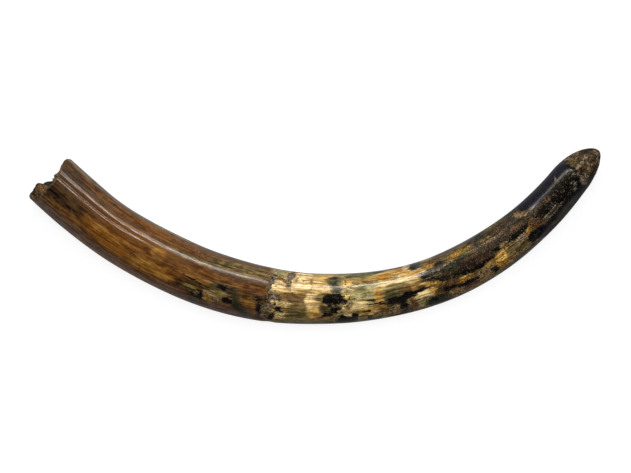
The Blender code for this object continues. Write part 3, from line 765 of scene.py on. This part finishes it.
def plain_tube():
    """The tusk's skin as a plain closed tube: the outside, the broken wall and the cavity."""
    length = TUSK_END * MM
    inner_radius = PLAIN_RADIUS - WALL * MM
    deselect()
    bpy.ops.mesh.primitive_cylinder_add(
        vertices=SIDES,
        radius=PLAIN_RADIUS,
        depth=length,
        end_fill_type="NOTHING",
        location=(length / 2, 0, PLAIN_RADIUS),
        rotation=(0, math.pi / 2, 0),
    )
    tusk = bpy.context.active_object
    tusk.name = "tusk_skin"
    tusk.data.name = "tusk_skin"
    bpy.ops.object.transform_apply(location=True, rotation=True, scale=True)
    select_edges(tusk, ring_at(0, PLAIN_RADIUS))
    share = inner_radius / PLAIN_RADIUS
    bpy.ops.mesh.extrude_region_move()
    bpy.ops.transform.resize(value=(1, share, share), center_override=(0, 0, PLAIN_RADIUS))
    select_edges(tusk, across_wall)
    bpy.ops.mesh.subdivide(number_cuts=WALL_RINGS - 1)
    select_edges(tusk, ring_at(0, inner_radius))
    bpy.ops.mesh.extrude_region_move(TRANSFORM_OT_translate={"value": (CAVITY_DEPTH * MM, 0, 0)})
    cut_lengthwise(tusk, CAVITY_RINGS, inner=True)
    cut_lengthwise(tusk, FIRST_CUT, inner=False)
    cut_lengthwise(tusk, OUTER_RINGS // FIRST_CUT, inner=False)
    for at, reach_at in ((CAVITY_DEPTH * MM, inner_radius), (length, PLAIN_RADIUS)):
        select_edges(tusk, ring_at(at, reach_at))
        bpy.ops.mesh.merge(type="CENTER")
    bpy.ops.mesh.select_all(action="SELECT")
    bpy.ops.mesh.normals_make_consistent(inside=False)
    bpy.ops.object.mode_set(mode="OBJECT")
    return tusk


def ring_stations(share):
    """The station of a ring of the outside, given its share of the plain tube's length."""
    count = share * OUTER_RINGS
    at_root = ROOT_RUN * count / ROOT_RINGS
    on_body = ROOT_RUN + (TIP_INSIDE - ROOT_RUN) * (count - ROOT_RINGS) / BODY_RINGS
    way = (count - ROOT_RINGS - BODY_RINGS) / TIP_RINGS
    at_tip = TIP_INSIDE + (TUSK_END - TIP_INSIDE) * np.sin(np.pi / 2 * np.clip(way, 0, 1))
    return np.where(count <= ROOT_RINGS, at_root, np.where(way <= 0, on_body, at_tip))


def cavity_places(station, angle, way_in):
    """Places on the side of the pulp cavity."""
    uneven = CAVITY_UNEVEN * waver(station, angle, CAVITY_WAVE, CAVITY_GRAIN, 7)
    radius = (through(RADIUS, station) - WALL) * (1 - way_in**CAVITY_TAPER)
    radius = radius + uneven * (1 - way_in)
    return inside(station, angle, through(RADIUS, station) - radius)


def wall_places(outer_edge, inner_edge, angle, share):
    """Places on the broken wall, at this share of the way from the outside to the cavity."""
    plain = np.zeros_like(angle)
    rim = outside(outer_edge, angle, relief(outer_edge, angle, plain) - EDGE_ROUND)
    mouth = cavity_places(inner_edge, angle, 0)
    places = rim + (mouth - rim) * share[:, None]
    depth = share * WALL
    rough = waver(depth, angle, BREAK_SIZE, BREAK_SIZE, 6)
    fine_size = BREAK_FINE_SIZE * BREAK_SIZE
    rough += BREAK_FINE * waver(depth, angle, fine_size, fine_size, 7)
    places[:, 0] += BREAK_ROUGH * rough * np.sin(np.pi * np.clip(share, 0, 1)) ** BREAK_FLAT
    return places


def shape_tusk(tusk):
    """Moves the plain tube's vertices to their places, and paints the stains."""
    x, reach, angle = plain_places(tusk)
    at_break = x < MM / 2
    in_tube = reach < PLAIN_RADIUS - MM / 2
    wall = at_break & in_tube
    cavity = ~at_break & in_tube & (x < (CAVITY_DEPTH + 1) * MM)
    outer = ~(wall | cavity)
    share = (PLAIN_RADIUS - reach) / (WALL * MM)
    places = np.zeros((len(x), 3))

    outer_edge = broken_edge(OUTER_EDGE, angle, 1)
    inner_edge = broken_edge(INNER_EDGE, angle, 2)
    ring = ring_stations(x / (TUSK_END * MM))
    station = ring + outer_edge * (1 - smooth(ring, 0, EDGE_FADE))
    stains = painted(station, angle)
    proud = relief(station, angle, smooth(stains["crust"], *CRUST_EDGE))
    worn = EDGE_ROUND * np.clip(1 - ring / EDGE_ROUND_RUN, 0, 1) ** 2
    places[outer] = outside(station, angle, proud - worn)[outer]
    places[wall] = wall_places(outer_edge, inner_edge, angle, share)[wall]
    way_in = x / (CAVITY_DEPTH * MM)
    along = inner_edge + (CAVITY_DEPTH - inner_edge) * way_in
    places[cavity] = cavity_places(along, angle, way_in)[cavity]

    tusk.data.vertices.foreach_set("co", (places * MM).ravel())
    tusk.data.update()
    keep_places(tusk, places)
    for kind, amount in stains.items():
        keep_mask(tusk, "stain_" + kind, amount)
    keep_mask(tusk, "etched", strength_of(ETCHED, station, angle))
    keep_mask(tusk, "pitted", strength_of(PITTED, station, angle))

    # A pale line along the worn edge of the break, on its upper side: a painted highlight.
    edge = (1 - smooth(ring, *WORN_EDGE_HIGHLIGHT_RUN)) * outer * smooth(angle, *WORN_EDGE_HIGHLIGHT_FROM)
    keep_mask(tusk, "worn_edge_highlight", edge * (1 - smooth(angle, *WORN_EDGE_HIGHLIGHT_TO)))
    far = 1
    for at, near, away in LESS_SHADED_BREAK:
        far = far * smooth(np.abs(turned(angle, at)), near, away)
    # Deep in the break, and all over the cavity, the colour is painted dark green as shade in the
    # hollow.
    hollow_shade_from = HOLLOW_SHADE_FROM - HOLLOW_SHADE_WIDER * far
    hollow_shade = smooth(share, hollow_shade_from, hollow_shade_from + HOLLOW_SHADE_FADE)
    keep_mask(tusk, "hollow_shade", np.where(cavity, 1, hollow_shade))
    slope_edge = TIP_STEP_AT + SLOPE_WAVE * waver(station, angle, SLOPE_SIZE, SLOPE_SIZE, 31)
    on_slope = np.clip(0.5 + (station - slope_edge) / SLOPE_FADE, 0, 1)
    facing_up = smooth(direction(angle)[1], *TIP_SLOPE_FACES)
    keep_mask(tusk, "worn_tip", on_slope * facing_up)
    return wall | cavity, angle, x, share


def keep_places(tusk, places):
    """Every vertex keeps its place on the straight tusk, in millimetres, for the materials."""
    layer = tusk.data.attributes.new("place", "FLOAT_VECTOR", "POINT")
    layer.data.foreach_set("vector", places.ravel())


def keep_mask(tusk, name, amount):
    layer = tusk.data.attributes.new(name, "FLOAT", "POINT")
    layer.data.foreach_set("value", amount)


# ---- Bending ----


def handle(here, there):
    """The length of the handles that make a smooth arc between two points of the middle line."""
    distance = math.dist(here[:2], there[:2])
    turn = math.radians(there[2] - here[2])
    return distance / (3 * math.cos(turn / 4) ** 2)


def middle_line():
    """The curve that the straight tusk is bent along."""
    deselect()
    bpy.ops.curve.primitive_bezier_curve_add(location=(0, 0, 0))
    line = bpy.context.active_object
    curve = line.data
    curve.twist_mode = "Z_UP"
    curve.resolution_u = LINE_STEPS
    points = curve.splines[0].bezier_points
    points.add(len(MIDDLE_LINE) - len(points))
    for n, (point, place) in enumerate(zip(points, MIDDLE_LINE)):
        x, y, heading = place
        centre = Vector((x, y, 0))
        ahead = Vector((*direction(heading), 0))
        before = handle(MIDDLE_LINE[n - 1], place) if n else LINE_TAIL
        after = handle(place, MIDDLE_LINE[n + 1]) if n + 1 < len(MIDDLE_LINE) else LINE_TAIL
        point.handle_left_type = "FREE"
        point.handle_right_type = "FREE"
        point.co = centre * MM
        point.handle_left = (centre - ahead * before) * MM
        point.handle_right = (centre + ahead * after) * MM
    return line


def bend(tusk):
    """Bends the straight tusk along the middle line."""
    line = middle_line()
    deselect()
    tusk.select_set(True)
    bpy.context.view_layer.objects.active = tusk
    modifier = tusk.modifiers.new("Bend along the middle line", "CURVE")
    modifier.object = line
    modifier.deform_axis = "POS_X"
    bpy.ops.object.modifier_apply(modifier=modifier.name)
    bpy.data.objects.remove(line, do_unlink=True)


# ---- Nodes ----


def linear(colour):
    """An sRGB colour in 0 to 255 as Blender's linear colour."""
    share = [c / 255 for c in colour]
    return (*(c / 12.92 if c <= 0.04045 else ((c + 0.055) / 1.055) ** 2.4 for c in share), 1)


def wire(tree, node, sockets):
    """Sets a node's sockets to values, or joins them to outputs."""
    for name, value in sockets.items():
        if isinstance(value, bpy.types.NodeSocket):
            tree.links.new(value, node.inputs[name])
        else:
            node.inputs[name].default_value = value


def add(tree, kind, sockets=None, **settings):
    """A new node with its settings made and its sockets wired."""
    node = tree.nodes.new(kind)
    for name, value in settings.items():
        setattr(node, name, value)
    wire(tree, node, sockets or {})
    return node


def maths(tree, operation, *values):
    """The result of a Math node."""
    return add(tree, "ShaderNodeMath", dict(enumerate(values)), operation=operation).outputs[0]


def plus(tree, first, second):
    return maths(tree, "ADD", first, second)


def minus(tree, first, second):
    return maths(tree, "SUBTRACT", first, second)


def times(tree, first, second):
    return maths(tree, "MULTIPLY", first, second)


def larger(tree, first, second):
    return maths(tree, "MAXIMUM", first, second)


def stepped(tree, value, start, end, low=0, high=1):
    """value eased from low at start to high at end."""
    sockets = {"Value": value, "From Min": start, "From Max": end, "To Min": low, "To Max": high}
    eased = add(tree, "ShaderNodeMapRange", sockets, interpolation_type="SMOOTHSTEP")
    return eased.outputs["Result"]


def either(tree, share, first, second):
    """Two values mixed."""
    sockets = {"Factor": share, 2: first, 3: second}
    return add(tree, "ShaderNodeMix", sockets, data_type="FLOAT").outputs[0]


def blend(tree, share, first, second, mode="MIX"):
    """Two colours mixed."""
    sockets = {"Factor": share, 6: first, 7: second}
    return add(tree, "ShaderNodeMix", sockets, data_type="RGBA", blend_type=mode).outputs[2]


def tone(tree, value, deep, pale):
    """A colour between a deep and a pale one, both in sRGB."""
    return blend(tree, value, linear(deep), linear(pale))


def covered(tree, colour, mask, strength, cover):
    """A colour with another, in sRGB, over it where the mask is."""
    return blend(tree, times(tree, mask, strength), colour, linear(cover))


def shaded(tree, colour, value):
    """A colour made darker or lighter by a value."""
    grey = add(tree, "ShaderNodeCombineColor", {n: value for n in range(3)}).outputs[0]
    return blend(tree, 1.0, colour, grey, "MULTIPLY")


def mask_of(tree, name):
    return add(tree, "ShaderNodeAttribute", attribute_name=name).outputs["Fac"]


def place_of(tree):
    return add(tree, "ShaderNodeAttribute", attribute_name="place").outputs["Vector"]


# ---- Shared effects ----


def group(name, inputs, *outputs):
    """A new shader node group with a place and a seed. Inputs are name: default value."""
    tree = bpy.data.node_groups.new(name, "ShaderNodeTree")
    for socket, value in {"Place": (0, 0, 0), **inputs, "Seed": 0.0}.items():
        kind = "NodeSocketVector" if isinstance(value, tuple) else "NodeSocketFloat"
        tree.interface.new_socket(socket, in_out="INPUT", socket_type=kind).default_value = value
    for socket in outputs:
        tree.interface.new_socket(socket, in_out="OUTPUT", socket_type="NodeSocketFloat")
    given = tree.nodes.new("NodeGroupInput").outputs
    result = tree.nodes.new("NodeGroupOutput").inputs
    return tree, given, result


def use(tree, effect, **sockets):
    """Places a node group, and gives its outputs."""
    return add(tree, "ShaderNodeGroup", sockets, node_tree=effect).outputs


def in_cells(tree, given, length, width):
    """The place counted in lengths along the tusk and widths across it, moved on by the seed."""
    size = add(tree, "ShaderNodeCombineXYZ", {0: length, 1: width, 2: width}).outputs[0]
    scaled = {0: given["Place"], 1: size}
    scaled = add(tree, "ShaderNodeVectorMath", scaled, operation="DIVIDE").outputs[0]
    moved = {0: scaled, 1: given["Seed"]}
    return add(tree, "ShaderNodeVectorMath", moved, operation="ADD").outputs[0]


def unevenness(tree, place, detail, roughness):
    """Noise between about 0.2 and 0.8."""
    sockets = {"Vector": place, "Scale": 1, "Detail": detail, "Roughness": roughness}
    return add(tree, "ShaderNodeTexNoise", sockets).outputs["Fac"]


def fibres_group():
    """Fine lengthwise streaks, as ivory's grain shows them."""
    tree, given, result = group("fibres", {"Length": 60.0, "Width": 2.0}, "Streaks")
    place = in_cells(tree, given, given["Length"], given["Width"])
    tree.links.new(unevenness(tree, place, 3, 0.6), result["Streaks"])
    return tree


def mottle_group():
    """Cloudy unevenness."""
    tree, given, result = group("mottle", {"Size": 10.0}, "Clouds")
    place = in_cells(tree, given, given["Size"], given["Size"])
    tree.links.new(unevenness(tree, place, 5, 0.62), result["Clouds"])
    return tree


def stain_group():
    """A stain with a ragged edge: bays and tongues along the grain, and fine teeth."""
    inputs = {"Amount": 0.0, "Size": 5.0, "Stretch": 3.0, "Soft": 0.06}
    tree, given, result = group("stain", inputs, "Mask")
    longer = times(tree, given["Size"], given["Stretch"])
    bays = unevenness(tree, in_cells(tree, given, longer, given["Size"]), 4, 0.72)
    push = times(tree, minus(tree, bays, 0.5), RAGGED)
    amount = plus(tree, given["Amount"], push)
    low = minus(tree, 0.5, given["Soft"])
    high = plus(tree, 0.5, given["Soft"])
    tree.links.new(stepped(tree, amount, low, high), result["Mask"])
    return tree


def lumps_group():
    """Rounded lumps of one size with creases between them."""
    tree, given, result = group("lumps", {"Size": 10.0}, "Height", "Crease")
    place = in_cells(tree, given, given["Size"], given["Size"])
    height = unevenness(tree, place, 1.4, 0.6)
    off_middle = maths(tree, "ABSOLUTE", minus(tree, height, 0.5))
    near = maths(tree, "DIVIDE", off_middle, CREASE_WIDTH)
    tree.links.new(height, result["Height"])
    tree.links.new(stepped(tree, near, 1.0, 0.3), result["Crease"])
    return tree


def specks_group():
    """Round grains of one size, of which a share shows."""
    tree, given, result = group("specks", {"Size": 2.5, "Share": 0.3}, "Mask")
    place = in_cells(tree, given, given["Size"], given["Size"])
    cells = add(tree, "ShaderNodeTexVoronoi", {"Vector": place, "Scale": 1, "Randomness": 1})
    chance = add(tree, "ShaderNodeSeparateColor", {"Color": cells.outputs["Color"]}).outputs[0]
    chosen = maths(tree, "LESS_THAN", chance, given["Share"])
    dome = stepped(tree, cells.outputs["Distance"], 0.48, 0.28)
    tree.links.new(times(tree, dome, chosen), result["Mask"])
    return tree


FIBRES = fibres_group()
MOTTLE = mottle_group()
STAIN = stain_group()
LUMPS = lumps_group()
SPECKS = specks_group()


def streaks_of(tree, place, length, width, seed):
    return use(tree, FIBRES, Place=place, Length=length, Width=width, Seed=seed)["Streaks"]


def clouds_of(tree, place, size, seed):
    return use(tree, MOTTLE, Place=place, Size=size, Seed=seed)["Clouds"]


def specks_of(tree, place, size, share, seed):
    return use(tree, SPECKS, Place=place, Size=size, Share=share, Seed=seed)["Mask"]


# ---- Materials ----


def new_material(name):
    material = bpy.data.materials.new(name)
    material.use_nodes = True
    tree = material.node_tree
    tree.nodes.clear()
    shader = tree.nodes.new("ShaderNodeBsdfPrincipled")
    output = tree.nodes.new("ShaderNodeOutputMaterial")
    tree.links.new(shader.outputs[0], output.inputs[0])
    return material, tree, shader


def wire_surface(tree, shader, colour, roughness, height):
    """Wires a surface's colour, its roughness, and its height in millimetres as a bump."""
    bump = add(tree, "ShaderNodeBump", {"Height": height, "Distance": MM, "Strength": 1.0})
    wire(tree, shader, {"Base Color": colour, "Roughness": roughness, "Normal": bump.outputs[0]})


def ground_colour(tree, place):
    """The unstained ivory: its colour along the tusk, with the change of colours wavering."""
    station = add(tree, "ShaderNodeSeparateXYZ", {0: place}).outputs[0]
    off = minus(tree, clouds_of(tree, place, size=14, seed=3.1), 0.5)
    shift = times(tree, off, GROUND_WAVER)
    share = maths(tree, "DIVIDE", plus(tree, station, shift), TUSK_END)
    ramp = add(tree, "ShaderNodeValToRGB", {"Fac": share})
    stops = ramp.color_ramp.elements
    while len(stops) < len(GROUND_COLOURS):
        stops.new(0.5)
    for stop, (at, colour) in zip(stops, GROUND_COLOURS):
        stop.position = at / TUSK_END
        stop.color = linear(colour)
    return ramp.outputs["Color"]


def stained(tree, place, tones, colour, roughness, rough_places):
    """Every kind of stain laid over the colour, the roughness and the places with a grain."""
    for n, (kind, look) in enumerate(KINDS.items()):
        deep, pale, rough, size, stretch, soft, varied_by = look
        edge = {"Size": size, "Stretch": stretch, "Soft": soft, "Seed": KIND_SEED * n}
        amount = mask_of(tree, "stain_" + kind)
        mask = use(tree, STAIN, Amount=amount, Place=place, **edge)["Mask"]
        colour = blend(tree, mask, colour, tone(tree, tones[varied_by], deep, pale))
        roughness = either(tree, mask, roughness, rough)
        if kind in ROUGH_KINDS:
            rough_places = larger(tree, rough_places, mask)
    return colour, roughness, rough_places


def polished_ivory():
    """The outside: stained and polished ivory, etched and pitted in places, with a worn tip."""
    material, tree, shader = new_material("polished_ivory")
    place = place_of(tree)
    etched = mask_of(tree, "etched")
    long_streaks = streaks_of(tree, place, length=70, width=4.2, seed=0)
    fine_streaks = streaks_of(tree, place, length=24, width=1.9, seed=5)
    streaks = plus(tree, long_streaks, fine_streaks)
    clouds = clouds_of(tree, place, size=13, seed=9)
    grains = clouds_of(tree, place, size=4, seed=4)
    fine_grains = clouds_of(tree, place, size=1.9, seed=14)
    both_grains = plus(tree, grains, fine_grains)
    tones = {
        "streaks": stepped(tree, plus(tree, streaks, clouds), 1.28, 1.72),
        "grains": stepped(tree, both_grains, 0.84, 1.16),
    }

    # The worn tip lies under the stains: dull, rough and taupe.
    amount = mask_of(tree, "worn_tip")
    tip = use(tree, STAIN, Amount=amount, Place=place, Size=3.5, Stretch=1.3)["Mask"]
    tip_lumps = use(tree, LUMPS, Place=place, Size=8.0, Seed=21.0)
    lumps = tip_lumps["Height"]
    crease = times(tree, tip_lumps["Crease"], tip)
    # The taupe is paler where the lumps stand high and darker where they sink: painted light and
    # shade on the lumps.
    taupe = tone(tree, stepped(tree, plus(tree, lumps, grains), 0.78, 1.22), *TIP_TONES)
    colour = blend(tree, tip, ground_colour(tree, place), taupe)
    roughness = stepped(tree, clouds, 0.3, 0.7, low=0.20, high=0.30)
    colour, roughness, rough_places = stained(tree, place, tones, colour, roughness, tip)
    roughness = either(tree, tip, roughness, TIP_ROUGHNESS)
    # A painted highlight: a pale line along the worn edge of the break.
    colour = covered(tree, colour, mask_of(tree, "worn_edge_highlight"), *WORN_EDGE_HIGHLIGHT_COVER)
    colour = covered(tree, colour, crease, *CREASE_COVER)

    # The grain of the ivory shades every colour, and etched places are speckled dark and light.
    colour = shaded(tree, colour, stepped(tree, streaks, 0.80, 1.20, low=0.79, high=1.23))
    checks = streaks_of(tree, place, length=15, width=1.3, seed=11)
    colour = shaded(tree, colour, stepped(tree, checks, 0.58, 0.68, low=1.0, high=0.5))
    speckled = shaded(tree, colour, stepped(tree, fine_grains, 0.38, 0.62, low=0.28, high=1.52))
    speckling = times(tree, larger(tree, etched, 0.22), either(tree, tip, 1.0, 0.4))
    colour = blend(tree, speckling, colour, speckled)
    roughness = either(tree, times(tree, etched, 0.6), roughness, ETCHED_ROUGHNESS)
    pitted = mask_of(tree, "pitted")
    pores = times(tree, specks_of(tree, place, size=4.6, share=0.42, seed=2), pitted)
    colour = covered(tree, colour, pores, *PORE_COVER)
    # Pale specks painted on the etched places as glints of light: a painted highlight.
    painted_glints = times(tree, specks_of(tree, place, size=2.6, share=0.24, seed=6), etched)
    colour = covered(tree, colour, painted_glints, *PAINTED_GLINT_COVER)

    rough_places = larger(tree, rough_places, times(tree, etched, 0.7))
    height = times(tree, both_grains, rough_places)
    height = plus(tree, height, times(tree, fine_streaks, STREAK_HEIGHT))
    height = minus(tree, height, times(tree, pores, PORE_DEPTH))
    on_tip = minus(tree, times(tree, lumps, LUMP_HEIGHT), crease)
    height = plus(tree, height, times(tree, on_tip, tip))
    wire_surface(tree, shader, colour, roughness, height)

    # The polish is a clear coat, broken along the grain and gone where the surface is etched.
    gloss = either(tree, etched, stepped(tree, roughness, 0.2, 0.5, low=0.8, high=0.0), 0.0)
    coat = times(tree, gloss, stepped(tree, fine_streaks, 0.42, 0.58, low=0.35, high=1.1))
    polish = {
        "Coat Weight": coat,
        "Coat Roughness": POLISH_ROUGHNESS,
        "Specular IOR Level": SPECULAR,
        "Specular Tint": linear(SPECULAR_TINT),
    }
    wire(tree, shader, polish)
    return material


def broken_ivory():
    """The break and the pulp cavity: granular brown with ochre, and dark green deep inside as
    painted shade.
    """
    material, tree, shader = new_material("broken_ivory")
    place = place_of(tree)
    clouds = clouds_of(tree, place, size=7, seed=6)
    grains = clouds_of(tree, place, size=2.4, seed=8)
    value = stepped(tree, plus(tree, clouds, grains), 0.86, 1.14)
    spots = stepped(tree, clouds_of(tree, place, size=4, seed=2.5), 0.52, 0.60)
    colour = blend(tree, spots, tone(tree, value, *BREAK_TONES), linear(BREAK_OCHRE))
    # Dark green painted deep in the break and the cavity: painted shade in the hollow.
    colour = blend(tree, mask_of(tree, "hollow_shade"), colour, tone(tree, value, *HOLLOW_SHADE_TONES))
    height = plus(tree, times(tree, clouds, BREAK_LUMPS), times(tree, grains, BREAK_GRAINS))
    wire_surface(tree, shader, colour, BREAK_ROUGHNESS, height)
    return material


# ---- Putting it together ----


def corner_numbers(mesh):
    """The vertex of every corner of every face, and the face of every corner."""
    vertex = np.empty(len(mesh.loops), int)
    mesh.loops.foreach_get("vertex_index", vertex)
    sizes = np.empty(len(mesh.polygons), int)
    mesh.polygons.foreach_get("loop_total", sizes)
    return vertex, np.repeat(np.arange(len(sizes)), sizes)


def inner_faces(mesh, broken):
    """True for every face that touches the break or the cavity."""
    vertex, face = corner_numbers(mesh)
    inner = np.zeros(len(mesh.polygons), bool)
    np.logical_or.at(inner, face, broken[vertex])
    return inner


def give_materials(tusk, broken):
    """The outside takes the first material, the break and the cavity the second."""
    tusk.data.materials.append(polished_ivory())
    tusk.data.materials.append(broken_ivory())
    tusk.data.polygons.foreach_set("material_index", inner_faces(tusk.data, broken).astype(int))


def lay_out(tusk, broken, angle, x, share):
    """The map for baking: the outside as two long strips, the break and the cavity as a third."""
    vertex, face = corner_numbers(tusk.data)
    length = TUSK_END * MM
    turn = angle[vertex]
    low = np.full(len(tusk.data.polygons), 360.0)
    np.minimum.at(low, face, turn)
    high = np.zeros(len(tusk.data.polygons))
    np.maximum.at(high, face, turn)
    over_seam = (high - low > 180)[face] & (turn < 180)
    turn = np.where(over_seam, turn + 360, turn) / 360
    middle = np.bincount(face, x[vertex]) / np.bincount(face)
    second = (middle > length / 2)[face]
    along = x[vertex] / length * 2 - second
    up = np.where(second, SECOND_STRIP, FIRST_STRIP) + STRIP_HEIGHT * turn
    depth = np.clip(share[vertex], 0, 1) * WALL + x[vertex] / MM
    inner_up = THIRD_STRIP + THIRD_HEIGHT * depth / (WALL + CAVITY_DEPTH)
    inner = inner_faces(tusk.data, broken)[face]
    u = MAP_MARGIN + (1 - 2 * MAP_MARGIN) * np.where(inner, turn, along)
    v = np.where(inner, inner_up, up)
    layer = tusk.data.uv_layers.new(name="OFBake")
    layer.uv.foreach_set("vector", np.stack((u, v), 1).astype(np.float32).ravel())


def make_tusk():
    tusk = plain_tube()
    broken, angle, x, share = shape_tusk(tusk)
    lay_out(tusk, broken, angle, x, share)
    give_materials(tusk, broken)
    bend(tusk)
    bpy.ops.object.shade_smooth_by_angle(angle=math.radians(SMOOTH_UP_TO))
    return tusk


def make_floor():
    """White where the camera sees it, and grey as the tusk sees it."""
    deselect()
    bpy.ops.mesh.primitive_plane_add(size=FLOOR_SIZE, location=(0, 0, 0))
    floor = bpy.context.active_object
    floor.name = "floor"
    material, tree, shader = new_material("pale_paper")
    seen = add(tree, "ShaderNodeLightPath").outputs["Is Camera Ray"]
    paper = {
        "Base Color": FLOOR_GREY,
        "Roughness": FLOOR_ROUGHNESS,
        "Emission Color": WHITE,
        "Emission Strength": times(tree, seen, FLOOR_GLOW),
    }
    wire(tree, shader, paper)
    floor.data.materials.append(material)


def make_camera():
    """Straight above the tusk."""
    deselect()
    bpy.ops.object.camera_add(location=CAMERA_AT, rotation=(0, 0, 0))
    camera = bpy.context.active_object
    distance = CAMERA_AT[2] - TUSK_MIDDLE_HEIGHT
    camera.data.lens = camera.data.sensor_width * distance / FRAME_WIDTH
    camera.data.clip_end = FAR_ENOUGH
    bpy.context.scene.camera = camera


def area_light(at, size, power):
    """A flat light of this length and width that shines down."""
    bpy.ops.object.light_add(type="AREA", location=at)
    light = bpy.context.active_object
    light.data.shape = "RECTANGLE"
    light.data.size, light.data.size_y = size
    light.data.energy = power
    return light


def make_lights():
    """A soft light beyond the inside of the curve, one overhead, and even light all around."""
    deselect()
    soft = area_light(SOFT_LIGHT_AT, SOFT_LIGHT_SIZE, SOFT_LIGHT_POWER)
    aim = Vector(SOFT_LIGHT_AIM) - Vector(SOFT_LIGHT_AT)
    soft.rotation_euler = aim.to_track_quat("-Z", "Y").to_euler()
    fill = area_light(FILL_LIGHT_AT, FILL_LIGHT_SIZE, FILL_LIGHT_POWER)
    fill.visible_glossy = False
    world = bpy.data.worlds.new("even_light")
    world.use_nodes = True
    background = world.node_tree.nodes["Background"]
    wire(world.node_tree, background, {"Color": WHITE, "Strength": EVEN_LIGHT})
    bpy.context.scene.world = world
    bpy.context.scene.view_settings.view_transform = "Standard"


tusk = make_tusk()
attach(tusk, "root")
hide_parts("tusk")
make_floor()
make_camera()
make_lights()
